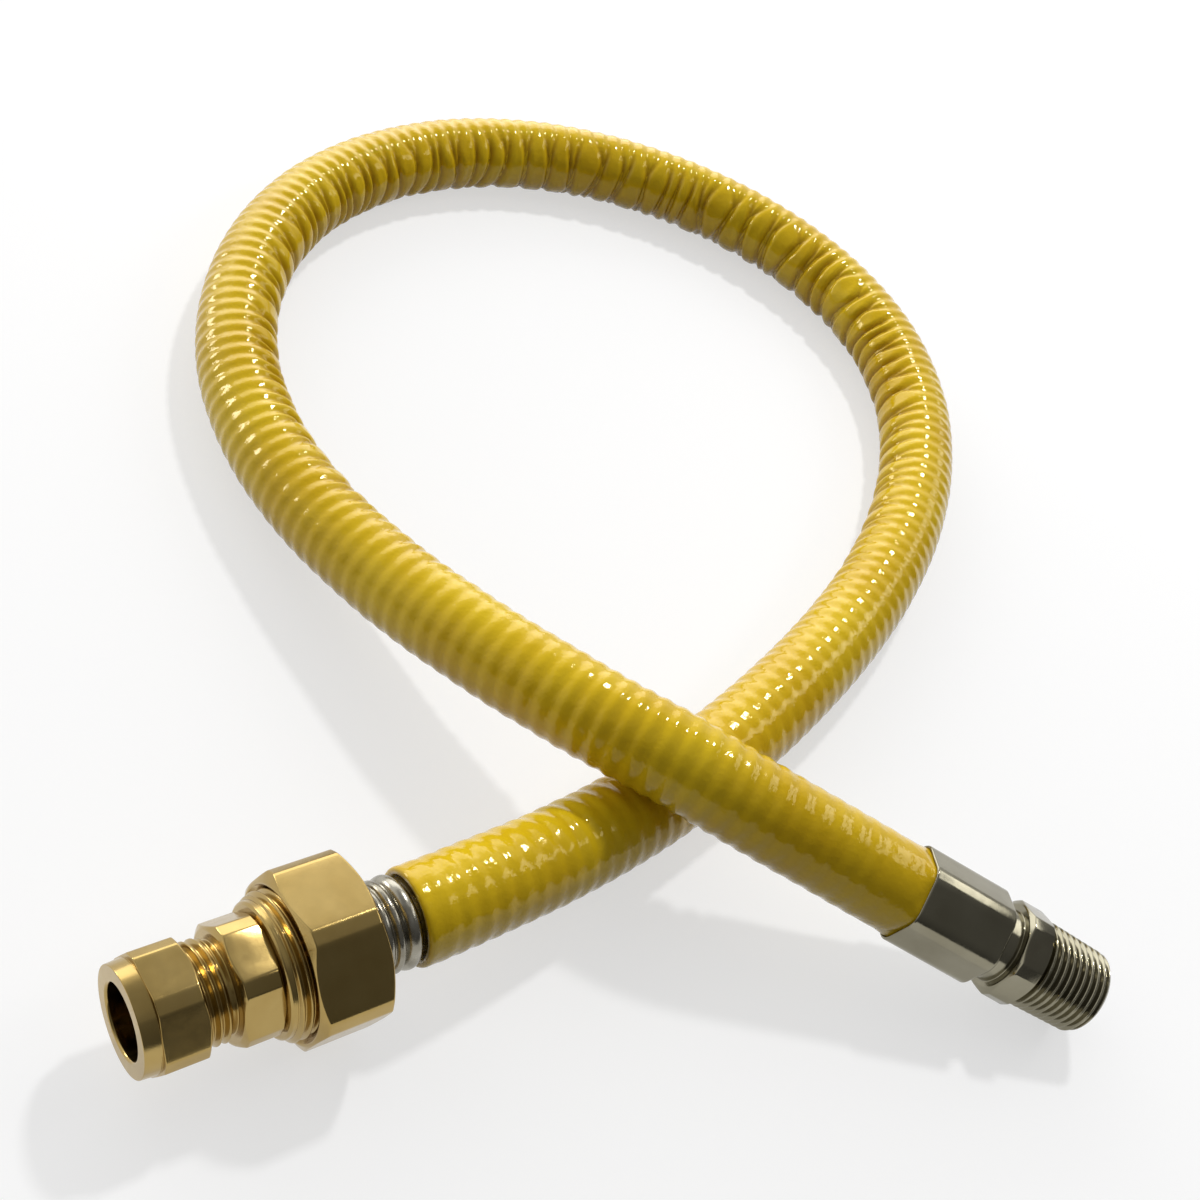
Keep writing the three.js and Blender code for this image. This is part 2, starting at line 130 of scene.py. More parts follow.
class HoseLine:
    """The centre line, measured along its own length, with a frame that doesn't twist."""

    def __init__(self, points, spacing):
        line = smooth_line(points, 60)
        along = np.concatenate([[0], np.cumsum(np.linalg.norm(np.diff(line, axis=0), axis=1))])
        self.length = along[-1]
        count = int(round(self.length / spacing)) + 1
        self.s = np.linspace(0, self.length, count)
        self.place = np.stack([np.interp(self.s, along, line[:, i]) for i in range(3)], axis=1)
        self.tangent = np.gradient(self.place, self.s, axis=0)
        self.tangent /= np.linalg.norm(self.tangent, axis=1)[:, None]
        side = np.cross(self.tangent[0], (0, 0, 1))
        sides = []
        for tangent in self.tangent:
            side = side - tangent * (side @ tangent)
            side = side / np.linalg.norm(side)
            sides.append(side)
        self.side = np.array(sides)
        self.up = np.cross(self.side, self.tangent)

    def at(self, stations, values):
        return np.stack([np.interp(stations, self.s, values[:, i]) for i in range(3)], axis=1)

    def bend(self, stations, window):
        """How sharply the line bends along side and up at each station, in 1/m."""
        curvature = np.gradient(self.tangent, self.s, axis=0)
        width = max(3, int(window / (self.s[1] - self.s[0])))
        kernel = np.hanning(width + 2)[1:-1]
        kernel /= kernel.sum()
        smooth = [np.convolve(curvature[:, i], kernel, mode="same") for i in range(3)]
        curvature = np.stack(smooth, axis=1)
        along_side = (curvature * self.side).sum(axis=1)
        along_up = (curvature * self.up).sum(axis=1)
        return np.interp(stations, self.s, along_side), np.interp(stations, self.s, along_up)


hose_points = [on_brass_axis(COVER_START - LEAD_IN), on_brass_axis(COVER_START + CRIMP_RUN)]
hose_points += [Vector(point) for point in ROUTE]
hose_points += [on_ferrule_axis(0), on_ferrule_axis(CRIMP_DEPTH)]
hose_line = HoseLine(hose_points, 0.5 * MM)

# Yellow cover
# The cover is soft PVC drawn over the corrugated tube. Each corrugation shows through as a
# low, soft rib. In the bends the ribs move closer, and on the inside, where the cover has no
# room, the valleys close in pairs into slanted folds. The ferrule squeezes its end.
COVER_CREST = 10.8 * MM
COVER_BORE = 9.3 * MM
COVER_SIDES = 48
COVER_STEP = 0.46 * MM
STRAIGHT_PITCH = 5.0 * MM
BENT_PITCH = 4.2 * MM
SHARPEST_BEND = 12.0
SMOOTH_AT_START = 16 * MM
SMOOTH_AT_END = 14 * MM
LUMP = 0.05 * MM
BEND_WINDOW = 25 * MM
RIB_DEPTH = 0.16 * MM
BEND_DEPTH = 0.2 * MM
FOLD_DEPTH = 1.3 * MM
WRINKLE = 0.16 * MM
FERRULE_ROLL = 156
CRIMPED_AF = 20.3
CRIMPED_CORNER = 4.05


def ring_mesh(name, rings, around, along, closed=True):
    """A mesh from rings of points. It carries a UV of share round and metres along."""
    count, sides, _ = rings.shape
    ring, side = np.meshgrid(np.arange(count if closed else count - 1), np.arange(sides), indexing="ij")
    after, beside = (ring + 1) % count, (side + 1) % sides
    faces = np.stack([ring * sides + side, ring * sides + beside, after * sides + beside,
                      after * sides + side], axis=-1).reshape(-1, 4)
    mesh = bpy.data.meshes.new(name)
    mesh.from_pydata(rings.reshape(-1, 3).tolist(), [], faces.tolist())
    u = np.stack([around[side], around[side] + (around[beside] - around[side]) % 1,
                  around[side] + (around[beside] - around[side]) % 1, around[side]], axis=-1)
    v = np.stack([along[ring], along[ring], along[after], along[after]], axis=-1)
    layer = mesh.uv_layers.new(name="turn")
    layer.data.foreach_set("uv", np.stack([u, v], axis=-1).reshape(-1))
    mesh.shade_smooth()
    piece = bpy.data.objects.new(name, mesh)
    bpy.context.scene.collection.objects.link(piece)
    return piece


def smoothstep(low, high, value):
    t = np.clip((value - low) / (high - low), 0, 1)
    return t * t * (3 - 2 * t)


def slow_noise(rng, stations, period):
    """A smooth random value in -1..1 that changes over the given length."""
    knots = rng.uniform(-1, 1, int(stations.max() / period) + 4)
    x = stations / period + 1
    i = np.floor(x).astype(int)
    t = x - i
    t = t * t * (3 - 2 * t)
    return knots[i] * (1 - t) + knots[i + 1] * t


def valley_distance(ribs, inner, lateral, rng):
    """How far each point lies from the nearest valley, in ribs.

    Where inner is 1, many valleys have moved together in pairs, each pair at its own slant."""
    count = int(ribs.max()) + 2
    pull = np.zeros(count)
    slant = rng.uniform(-0.5, 0.5, count)
    wander = rng.uniform(-0.12, 0.12, count)
    i = 0
    while i < count - 1:
        if rng.random() < 0.6:
            strength = rng.uniform(0.34, 0.47)
            pull[i], pull[i + 1] = strength, -strength
            slant[i + 1] = slant[i] + rng.uniform(-0.35, 0.35)
            i += 2
        else:
            i += 1
    nearest = np.full(inner.shape, 1.0)
    cell = np.floor(ribs).astype(int)
    for step in range(-2, 3):
        j = np.clip(cell + step, 0, count - 1)
        shift = (pull[j] + wander[j])[:, None] * inner + slant[j][:, None] * lateral * inner
        nearest = np.minimum(nearest, np.abs(ribs[:, None] - (j + 0.5)[:, None] - shift))
    return nearest


def crimped_radius(angles, across_flats, corner, roll=FERRULE_ROLL):
    """The radius of a hexagon with round corners, at each angle."""
    centre = (across_flats / 2 - corner) / math.cos(math.pi / 6)
    lean = np.radians((angles - roll + 30) % 60 - 30)
    reach = np.clip(corner**2 - (centre * np.sin(lean)) ** 2, 0, None)
    arc = centre * np.cos(lean) + np.sqrt(reach)
    flat = across_flats / 2 / np.cos(math.pi / 6 - np.abs(lean))
    tangent = math.atan2(corner / 2, centre + corner * math.cos(math.pi / 6))
    return np.where(np.abs(lean) < tangent, arc, flat)


def cover_rings():
    rng = np.random.default_rng(11)
    end = hose_line.length - CRIMP_DEPTH - CRIMP_RUN
    start = LEAD_IN
    stations = np.linspace(start, hose_line.length, int(hose_line.length / COVER_STEP))
    angles = np.linspace(0, 2 * math.pi, COVER_SIDES, endpoint=False)
    cos, sin = np.cos(angles), np.sin(angles)
    bend_side, bend_up = hose_line.bend(stations, BEND_WINDOW)
    bent = np.clip(np.hypot(bend_side, bend_up) / SHARPEST_BEND, 0, 1)
    pitch = STRAIGHT_PITCH + (BENT_PITCH - STRAIGHT_PITCH) * bent
    ribs = np.concatenate([[0], np.cumsum(np.diff(stations) / pitch[1:])])
    squeeze = COVER_CREST * (bend_side[:, None] * cos + bend_up[:, None] * sin)
    across = COVER_CREST * (bend_up[:, None] * cos - bend_side[:, None] * sin)
    inner = smoothstep(0.01, 0.095, squeeze)
    lateral = across / np.maximum(np.hypot(squeeze, across), 0.02)
    # a rib is a plain wave where the hose is straight, and a fold's valley is narrower
    rise = 1 - np.clip(2 * valley_distance(ribs, inner, lateral, rng), 0, 1)
    height = (0.5 + 0.5 * np.cos(math.pi * rise)) ** (1 - 0.6 * inner)
    depth = RIB_DEPTH + BEND_DEPTH * bent[:, None] + FOLD_DEPTH * inner
    # the ribs are fainter for a short way from each end
    fade = smoothstep(0, SMOOTH_AT_START, stations - start) * 0.65 + 0.35
    fade *= smoothstep(0, SMOOTH_AT_END, end - stations) * 0.7 + 0.3
    lump = LUMP * slow_noise(rng, stations, 9 * MM)[:, None] * np.cos(angles + 1)
    lump = lump + LUMP * slow_noise(rng, stations, 6 * MM)[:, None] * np.sin(2 * angles)
    wrinkle = slow_noise(rng, stations, 2.4 * MM)[:, None] * np.cos(3 * angles + 0.4)
    wrinkle = wrinkle + slow_noise(rng, stations, 3.1 * MM)[:, None] * np.sin(4 * angles)
    radius = COVER_CREST - depth * fade[:, None] * (1 - height) + lump
    radius = radius + WRINKLE * inner * (np.clip(wrinkle, -1, 1) - 1)
    # in the ferrule the cover fills the crimped hexagon
    outward = np.outer(cos, hose_line.side[-1]) + np.outer(sin, hose_line.up[-1])
    local = outward @ np.array(FERRULE_TURN)
    crimped = crimped_radius(np.degrees(np.arctan2(local[:, 2], local[:, 1])),
                             CRIMPED_AF, CRIMPED_CORNER) * MM
    squeezed = smoothstep(end, end + CRIMP_RUN, stations)[:, None]
    radius = radius * (1 - squeezed) + crimped * squeezed
    # the cut end is slightly rounded over
    radius[0] -= 0.4 * MM
    radius[1] -= 0.12 * MM
    inside = np.linspace(hose_line.length, start, 90)
    bore = np.full((inside.size, COVER_SIDES), COVER_BORE)
    all_s = np.concatenate([stations, inside])
    all_r = np.vstack([radius, bore])
    place = hose_line.at(all_s, hose_line.place)
    side = hose_line.at(all_s, hose_line.side)
    up = hose_line.at(all_s, hose_line.up)
    spread = side[:, None] * cos[:, None] + up[:, None] * sin[:, None]
    rings = place[:, None] + spread * all_r[:, :, None]
    # crest is 1 on the ribs' crests and lower in their valleys, lowest in the folds; the cover's
    # material paints shade into the valleys and creases from it
    crest = np.vstack([1 - (1 - height) * fade[:, None] * (0.3 + 0.7 * inner), np.ones_like(bore)])
    return rings, angles / (2 * math.pi), all_s, crest


rings, around, along, crest = cover_rings()
cover = ring_mesh("yellow_cover", rings, around, along)
cover.data.attributes.new("crest", "FLOAT", "POINT").data.foreach_set(
    "value", crest.astype(np.float32).ravel()
)


def new_material(name):
    material = bpy.data.materials.new(name)
    material.use_nodes = True
    return material, material.node_tree, material.node_tree.nodes["Principled BSDF"]


def new_effect(name, inputs, outputs):
    """A shader node group with the given sockets, each a (name, type) pair."""
    group = bpy.data.node_groups.new(name, "ShaderNodeTree")
    for label, kind in inputs:
        group.interface.new_socket(name=label, in_out="INPUT", socket_type=kind)
    for label, kind in outputs:
        group.interface.new_socket(name=label, in_out="OUTPUT", socket_type=kind)
    nodes = group.nodes
    return group, nodes.new("NodeGroupInput"), nodes.new("NodeGroupOutput")


def mix_colours(tree, share, first, second):
    mix = tree.nodes.new("ShaderNodeMix")
    mix.data_type = "RGBA"
    for socket, value in zip((mix.inputs[0], mix.inputs[6], mix.inputs[7]), (share, first, second)):
        if isinstance(value, bpy.types.NodeSocket):
            tree.links.new(value, socket)
        else:
            socket.default_value = value
    return mix.outputs[2]


# Mottling: a soft change of tone over a surface, in blotches of the given size
mottling, given, made = new_effect(
    "mottling",
    [("Size per metre", "NodeSocketFloat"), ("Low", "NodeSocketFloat"), ("High", "NodeSocketFloat")],
    [("Value", "NodeSocketFloat")],
)
place = mottling.nodes.new("ShaderNodeTexCoord")
blotch = mottling.nodes.new("ShaderNodeTexNoise")
blotch.inputs["Detail"].default_value = 3
spread = mottling.nodes.new("ShaderNodeMapRange")
spread.inputs["From Min"].default_value = 0.3
spread.inputs["From Max"].default_value = 0.7
mottling.links.new(place.outputs["Object"], blotch.inputs["Vector"])
mottling.links.new(given.outputs["Size per metre"], blotch.inputs["Scale"])
mottling.links.new(blotch.outputs["Fac"], spread.inputs["Value"])
mottling.links.new(given.outputs["Low"], spread.inputs["To Min"])
mottling.links.new(given.outputs["High"], spread.inputs["To Max"])
mottling.links.new(spread.outputs["Result"], made.inputs["Value"])


def add_effect(tree, group, **values):
    node = tree.nodes.new("ShaderNodeGroup")
    node.node_tree = group
    for label, value in values.items():
        node.inputs[label.replace("_", " ")].default_value = value
    return node


def bump(tree, shader, height, strength, distance):
    node = tree.nodes.new("ShaderNodeBump")
    node.inputs["Strength"].default_value = strength
    node.inputs["Distance"].default_value = distance
    tree.links.new(height, node.inputs["Height"])
    tree.links.new(node.outputs["Normal"], shader.inputs["Normal"])
    return node


yellow_pvc, tree, shader = new_material("yellow_pvc")
shader.inputs["IOR"].default_value = 1.5
shader.inputs["Specular Tint"].default_value = (1, 0.85, 0.42, 1)
tone = add_effect(tree, mottling, Size_per_metre=38, Low=0, High=1)
yellow = mix_colours(tree, tone.outputs["Value"], (0.60, 0.375, 0.006, 1), (0.69, 0.475, 0.012, 1))
# the valleys and the folds' creases are painted a dark brown, deepest where crest is lowest: painted
# shade in the creases
crest_for_painted_shade = tree.nodes.new("ShaderNodeAttribute")
crest_for_painted_shade.attribute_name = "crest"
painted_crease_shade = tree.nodes.new("ShaderNodeMapRange")
painted_crease_shade.inputs["From Min"].default_value = 0.0
painted_crease_shade.inputs["From Max"].default_value = 0.75
painted_crease_shade.inputs["To Min"].default_value = 0.85
painted_crease_shade.inputs["To Max"].default_value = 0.0
tree.links.new(crest_for_painted_shade.outputs["Fac"], painted_crease_shade.inputs["Value"])
valley = mix_colours(tree, painted_crease_shade.outputs["Result"], yellow, (0.30, 0.13, 0.002, 1))
tree.links.new(valley, shader.inputs["Base Color"])
gloss = add_effect(tree, mottling, Size_per_metre=160, Low=0.07, High=0.15)
tree.links.new(gloss.outputs["Value"], shader.inputs["Roughness"])
waves = add_effect(tree, mottling, Size_per_metre=420, Low=0, High=1)
bump(tree, shader, waves.outputs["Value"], 0.35, 0.0002)
cover.data.materials.append(yellow_pvc)
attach(cover, "hose")
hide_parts("hose_cover")

# Stainless tube
# The tube is thin stainless sheet formed into ring corrugations. At the brass end it is
# bare for some millimetres, where the ridges lie close and uneven, and its end is
# flattened to a flange that seals on the washer. The whole tube has one dark, mottled steel colour.
TUBE_VALLEY = 8.5 * MM
TUBE_UNDER_COVER = 9.1 * MM
TUBE_SHEET = 0.35 * MM
HIDDEN_STEP = 4 * MM
FLANGE_START = 41.6 * MM
FLANGE_END = 42.8 * MM
FLANGE_RADIUS = 12.2 * MM
FLANGE_ROUNDING = 0.2 * MM
FLANGE_FOOT = 9 * MM
TUBE_SIDES = 72
# each bare ridge: where its crest is, its half width, its radius and how far it leans
RIDGES = [
    (46.9, 1.15, 9.55, 0.15),
    (49.3, 1.20, 9.75, -0.2),
    (51.7, 1.20, 9.6, 0.25),
    (54.1, 1.20, 9.8, -0.1),
    (57.2, 1.85, 10.0, 0.3),
]

bare_x = np.concatenate([
    [FLANGE_START, FLANGE_START + 0.1 * MM, FLANGE_END - 0.1 * MM, FLANGE_END],
    np.arange(FLANGE_END + 0.15 * MM, COVER_START + 1.5 * MM, 0.15 * MM),
])
tube_angles = np.linspace(0, 2 * math.pi, TUBE_SIDES, endpoint=False)
bare_r = np.full((bare_x.size, TUBE_SIDES), TUBE_VALLEY)
for crest_x, half_width, crest_r, lean in RIDGES:
    crest_place = crest_x + lean * np.cos(tube_angles - crest_x)
    away = np.clip(np.abs(bare_x[:, None] / MM - crest_place) / half_width, 0, 1)
    bare_r = np.maximum(bare_r, TUBE_VALLEY + (crest_r * MM - TUBE_VALLEY) * (1 - away**2) ** 0.6)
flange_edge = FLANGE_RADIUS - FLANGE_ROUNDING
flange = [flange_edge, FLANGE_RADIUS, FLANGE_RADIUS, flange_edge, FLANGE_FOOT]
bare_r[:5] = np.array(flange)[:, None]
hidden_x = np.arange(COVER_START + 1.7 * MM, COVER_START - LEAD_IN + hose_line.length, HIDDEN_STEP)
hidden_r = np.full((hidden_x.size, TUBE_SIDES), TUBE_UNDER_COVER)
tube_x = np.concatenate([bare_x, hidden_x])
tube_r = np.vstack([bare_r, hidden_r])
tube_x = np.concatenate([tube_x, tube_x[::-1]])
tube_r = np.vstack([tube_r, (np.minimum(tube_r, TUBE_VALLEY + 1.5 * MM) - TUBE_SHEET)[::-1]])
tube_s = tube_x - (COVER_START - LEAD_IN)
tube_place = hose_line.at(np.maximum(tube_s, 0), hose_line.place)
tube_place[:, 0] += np.minimum(tube_s, 0)
tube_side = hose_line.at(np.maximum(tube_s, 0), hose_line.side)
tube_up = hose_line.at(np.maximum(tube_s, 0), hose_line.up)
tube_spread = (
    tube_side[:, None] * np.cos(tube_angles)[:, None] + tube_up[:, None] * np.sin(tube_angles)[:, None]
)
tube_rings = tube_place[:, None] + tube_spread * tube_r[:, :, None]
tube = ring_mesh("stainless_tube", tube_rings, tube_angles / (2 * math.pi), tube_x)

# Turning marks: fine lines round a turned piece, or along a drawn one
turning, given, made = new_effect(
    "turning_marks",
    [("Along", "NodeSocketFloat"), ("Around", "NodeSocketFloat"), ("Strength", "NodeSocketFloat")],
    [("Value", "NodeSocketFloat")],
)
turn_map = turning.nodes.new("ShaderNodeUVMap")
turn_map.uv_map = "turn"
split = turning.nodes.new("ShaderNodeSeparateXYZ")
turning.links.new(turn_map.outputs["UV"], split.inputs["Vector"])
scaled = []
for socket, label in ((split.outputs["X"], "Around"), (split.outputs["Y"], "Along")):
    times = turning.nodes.new("ShaderNodeMath")
    times.operation = "MULTIPLY"
    turning.links.new(socket, times.inputs[0])
    turning.links.new(given.outputs[label], times.inputs[1])
    scaled.append(times.outputs[0])
joined = turning.nodes.new("ShaderNodeCombineXYZ")
turning.links.new(scaled[0], joined.inputs["X"])
turning.links.new(scaled[1], joined.inputs["Y"])
lines = turning.nodes.new("ShaderNodeTexNoise")
lines.inputs["Scale"].default_value = 1
lines.inputs["Detail"].default_value = 4
turning.links.new(joined.outputs["Vector"], lines.inputs["Vector"])
faded = turning.nodes.new("ShaderNodeMath")
faded.operation = "MULTIPLY"
turning.links.new(lines.outputs["Fac"], faded.inputs[0])
turning.links.new(given.outputs["Strength"], faded.inputs[1])
turning.links.new(faded.outputs[0], made.inputs["Value"])

stainless, tree, shader = new_material("stainless")
shader.inputs["Metallic"].default_value = 1
tone = add_effect(tree, mottling, Size_per_metre=300, Low=0, High=1)
steel = mix_colours(tree, tone.outputs["Value"], (0.24, 0.22, 0.17, 1), (0.40, 0.38, 0.32, 1))
tree.links.new(steel, shader.inputs["Base Color"])
gloss = add_effect(tree, mottling, Size_per_metre=700, Low=0.16, High=0.32)
tree.links.new(gloss.outputs["Value"], shader.inputs["Roughness"])
marks = add_effect(tree, turning, Along=9000, Around=6, Strength=1)
bump(tree, shader, marks.outputs["Value"], 0.25, 0.00005)
tube.data.materials.append(stainless)
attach(tube, "hose")
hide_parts("corrugated_tube")

# Compression nut
# A brass nut for 15 mm pipe, sawn from hexagon bar and turned: a collar that flares a little
# from its mouth, a flat shoulder, corners broken to flats, and a right-hand thread inside.
SMALL_PITCH = 1.814
SMALL_THREAD = 10.48
SMALL_THREAD_DEPTH = 1.16
THREAD_GAP = 0.14
CONE_SLOPE = math.tan(math.radians(30))
CORNER_FLAT = 3.2


def turn_angles(*corners):
    """Angles for the columns of a turned piece, in degrees, close together at its corners."""
    near = [corner + step for corner in corners for step in (-1.8, -0.8, 0, 0.8, 1.8)]
    near = np.sort(np.array(near) % 360)
    plain = np.arange(0, 360, 3.6)
    if near.size:
        apart = np.abs((plain[:, None] - near + 180) % 360 - 180).min(axis=1)
        plain = plain[apart > 1.4]
    return np.sort(np.concatenate([plain, near]))


def hexagon_corners(across_flats, roll):
    """The angles of the twelve edges of a hexagon whose corners are cut to narrow flats."""
    sharp = across_flats / 2 / math.cos(math.pi / 6)
    cut = CORNER_FLAT / 2 / math.tan(math.pi / 3)
    half = math.degrees(math.atan2(CORNER_FLAT / 2, sharp - cut))
    return [roll + 60 * k + lean for k in range(6) for lean in (-half, half)]


def hexagon_radius(angles, across_flats, roll, softness=130):
    """The radius at each angle of that hexagon. Its edges are slightly rounded."""
    sharp = across_flats / 2 / math.cos(math.pi / 6)
    cut = sharp - CORNER_FLAT / 2 / math.tan(math.pi / 3)
    total = 0
    for k in range(6):
        for turn, distance in ((30, across_flats / 2), (0, cut)):
            lean = np.cos(np.radians(angles - roll - 60 * k - turn))
            total = total + (np.clip(lean, 0, 1) * across_flats / 2 / distance) ** softness
    return across_flats / 2 / total ** (1 / softness)


def outline(angles, points):
    """The same profile in each column. A value may also be an array with one value a column."""
    columns = [np.stack([np.broadcast_to(x, angles.shape), np.broadcast_to(r, angles.shape)], axis=1)
               for x, r in points]
    return np.array(columns, float)


def soften(profile, size, steps=4):
    """Breaks the profile's corners, as a turned or tumbled edge is."""
    soft = [profile[0]]
    for before, corner, after in zip(profile, profile[1:], profile[2:]):
        back, ahead = before - corner, after - corner
        short = np.minimum(np.linalg.norm(back, axis=1), np.linalg.norm(ahead, axis=1))
        reach = np.minimum(size, 0.4 * short)[:, None]
        start = corner + back / np.linalg.norm(back, axis=1)[:, None] * reach
        end = corner + ahead / np.linalg.norm(ahead, axis=1)[:, None] * reach
        for t in np.linspace(0, 1, steps):
            soft.append((1 - t) ** 2 * start + 2 * t * (1 - t) * corner + t * t * end)
    soft.append(profile[-1])
    return np.array(soft)


def hexagon_bar(angles, across_flats, roll, start, end, face):
    """The outside of a hexagon whose ends are turned to a cone down to the face radius."""
    radius = hexagon_radius(angles, across_flats, roll)
    cone = (radius - face) * CONE_SLOPE
    return [(start, face), (start + cone, radius), (end - cone, radius), (end, face)]


def thread(angles, start, end, radius, depth, pitch, taper=0, lead_in=0, lead_out=0):
    """The flanks of a right-hand thread, as rows along the axis. Radius is its crest's."""
    x = np.arange(start, end + pitch / 32, pitch / 16)[:, None]
    phase = x / pitch - angles[None] / 360
    t = 2 * np.abs(phase - np.round(phase))
    flank = np.clip((t - 0.1) / 0.8, 0, 1)
    groove = 0.8 * flank + 0.2 * (0.5 - 0.5 * np.cos(math.pi * flank))
    crest = radius - (x - start) * taper / 2
    r = crest - depth * groove
    if lead_in:
        r = np.minimum(r, crest - depth + (x - start) / lead_in * depth)
    if lead_out:
        r = np.minimum(r, crest - depth + (end - x) / lead_out * depth)
    r = np.maximum(r, crest - depth)
    return np.stack([np.broadcast_to(x, r.shape), r], axis=2)


def turned_piece(name, angles, profile, place, turn, flat_faces=True):
    """A closed turned mesh from a profile of rows x columns x (x, radius) in millimetres."""
    radians = np.radians(angles)
    x, r = profile[..., 0], profile[..., 1]
    local = np.stack([x, r * np.cos(radians), r * np.sin(radians)], axis=2) * MM
    rings = local @ np.array(turn).T + np.array(place)
    middle = profile.mean(axis=1)
    steps = np.linalg.norm(np.diff(middle, axis=0), axis=1)
    along = np.concatenate([[0], np.cumsum(steps)]) * MM
    piece = ring_mesh(name, rings, angles / 360, along)
    if flat_faces:
        flat = piece.modifiers.new("flat faces stay flat", "WEIGHTED_NORMAL")
        flat.weight = 60
    return piece


STRAIGHT = Matrix.Identity(3)
NUT_AF = 23.4
NUT_ROLL = 113.6
nut_angles = turn_angles(*hexagon_corners(NUT_AF, NUT_ROLL))
nut_bar = hexagon_bar(nut_angles, NUT_AF, NUT_ROLL, 3.4, 12.9, 11.5)
# its front shoulder is flat, where hexagon_bar makes a cone
nut_bar[0] = (3.42, 11.5)
nut_bar[1] = (3.5, nut_bar[1][1])
nut_outside = soften(outline(nut_angles, [
    (4, 7.6), (0.35, 7.6), (0, 7.95), (0, 11.05), (0.1, 11.15), (3.4, 11.4),
    *nut_bar, (12.9, 10.9), (12.5, 10.45),
]), 0.25)
nut_thread = thread(nut_angles, 6.9, 12.4, SMALL_THREAD + THREAD_GAP, SMALL_THREAD_DEPTH, SMALL_PITCH)
nut_seat = outline(nut_angles, [(6.7, 10.7), (6.5, 10.7), (6.5, 9.42), (5.3, 9), (1.5, 7.62)])
compression_nut = turned_piece(
    "compression_nut_brass", nut_angles,
    np.concatenate([nut_outside, nut_thread[::-1], nut_seat]), BRASS_AXIS_START, STRAIGHT,
)

# Grain: the fine, sparkling texture of a pressed or tumbled metal face
grain, given, made = new_effect(
    "grain",
    [("Size per metre", "NodeSocketFloat"), ("Strength", "NodeSocketFloat")],
    [("Value", "NodeSocketFloat")],
)
place = grain.nodes.new("ShaderNodeTexCoord")
grains = grain.nodes.new("ShaderNodeTexNoise")
grains.inputs["Detail"].default_value = 2
faint = grain.nodes.new("ShaderNodeMath")
faint.operation = "MULTIPLY"
grain.links.new(place.outputs["Object"], grains.inputs["Vector"])
grain.links.new(given.outputs["Size per metre"], grains.inputs["Scale"])
grain.links.new(grains.outputs["Fac"], faint.inputs[0])
grain.links.new(given.outputs["Strength"], faint.inputs[1])
grain.links.new(faint.outputs[0], made.inputs["Value"])


def add(tree, first, second):
    node = tree.nodes.new("ShaderNodeMath")
    node.operation = "ADD"
    tree.links.new(first, node.inputs[0])
    tree.links.new(second, node.inputs[1])
    return node.outputs[0]


brass, tree, shader = new_material("brass")
shader.inputs["Metallic"].default_value = 1
tone = add_effect(tree, mottling, Size_per_metre=140, Low=0, High=1)
gold = mix_colours(tree, tone.outputs["Value"], (0.41, 0.285, 0.095, 1), (0.46, 0.33, 0.12, 1))
tree.links.new(gold, shader.inputs["Base Color"])
gloss = add_effect(tree, mottling, Size_per_metre=500, Low=0.17, High=0.21)
tree.links.new(gloss.outputs["Value"], shader.inputs["Roughness"])
marks = add_effect(tree, turning, Along=7000, Around=5, Strength=0.5)
speckle = add_effect(tree, grain, Size_per_metre=5200, Strength=0.6)
relief = add(tree, marks.outputs["Value"], speckle.outputs["Value"])
bump(tree, shader, relief, 0.22, 0.00005)
compression_nut.data.materials.append(brass)
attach(compression_nut, "pipe_nut")
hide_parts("compression_nut")

# Olive
# A brass ring with a cone at each side, which the nut squeezes onto the pipe. It is loose
# in the nut until a pipe is fitted.
olive_angles = turn_angles()
olive_profile = soften(outline(olive_angles, [
    (5.5, 7.6), (3.3, 7.6), (3.3, 8), (5.3, 8.68), (7.8, 8.68), (9.8, 8), (9.8, 7.6), (7.5, 7.6),
]), 0.18)
olive = turned_piece("olive_brass", olive_angles, olive_profile, BRASS_AXIS_START, STRAIGHT)
olive.data.materials.append(brass)
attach(olive, "olive_ring")
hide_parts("olive")

# Adapter body
# One turned brass piece: the small thread for the nut, a hexagon to hold it by, and the
# large thread for the union nut. The pipe stops against a step inside.
LARGE_PITCH = 1.814
LARGE_THREAD = 15.1
LARGE_THREAD_DEPTH = 1.16
BODY_AF = 23.8
BODY_ROLL = 124.6
body_angles = turn_angles(*hexagon_corners(BODY_AF, BODY_ROLL))
body_bar = hexagon_bar(body_angles, BODY_AF, BODY_ROLL, 19.2, 27.8, 11.4)
body_small = thread(body_angles, 8.4, 17.9, SMALL_THREAD, SMALL_THREAD_DEPTH, SMALL_PITCH, lead_in=1.2)
body_large = thread(
    body_angles, 29.2, 38.9, LARGE_THREAD, LARGE_THREAD_DEPTH, LARGE_PITCH, lead_in=0.5, lead_out=1
)
body_profile = np.concatenate([
    soften(outline(body_angles, [(12, 7.6), (11.8, 7.6), (8.35, 8.85), (8.3, 9.3)]), 0.1),
    body_small,
    soften(outline(body_angles, [(18.2, 9.3), (19.2, 9.3), *body_bar[:3]]), 0.25),
    soften(outline(body_angles, [
        body_bar[2], body_bar[3], (27.8, 13.4), (28.2, 13.94), (28.8, 13.94), (29.1, 14.08),
    ]), 0.15)[1:],
    body_large,
    soften(outline(body_angles, [
        (39, 13.9), (39, 7), (38.7, 6.7), (23.5, 6.7), (23.5, 7.6), (13.5, 7.6),
    ]), 0.2),
])
adapter_body = turned_piece("adapter_body_brass", body_angles, body_profile, BRASS_AXIS_START, STRAIGHT)
adapter_body.data.materials.append(brass)
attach(adapter_body, "adapter")
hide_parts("adapter_body")

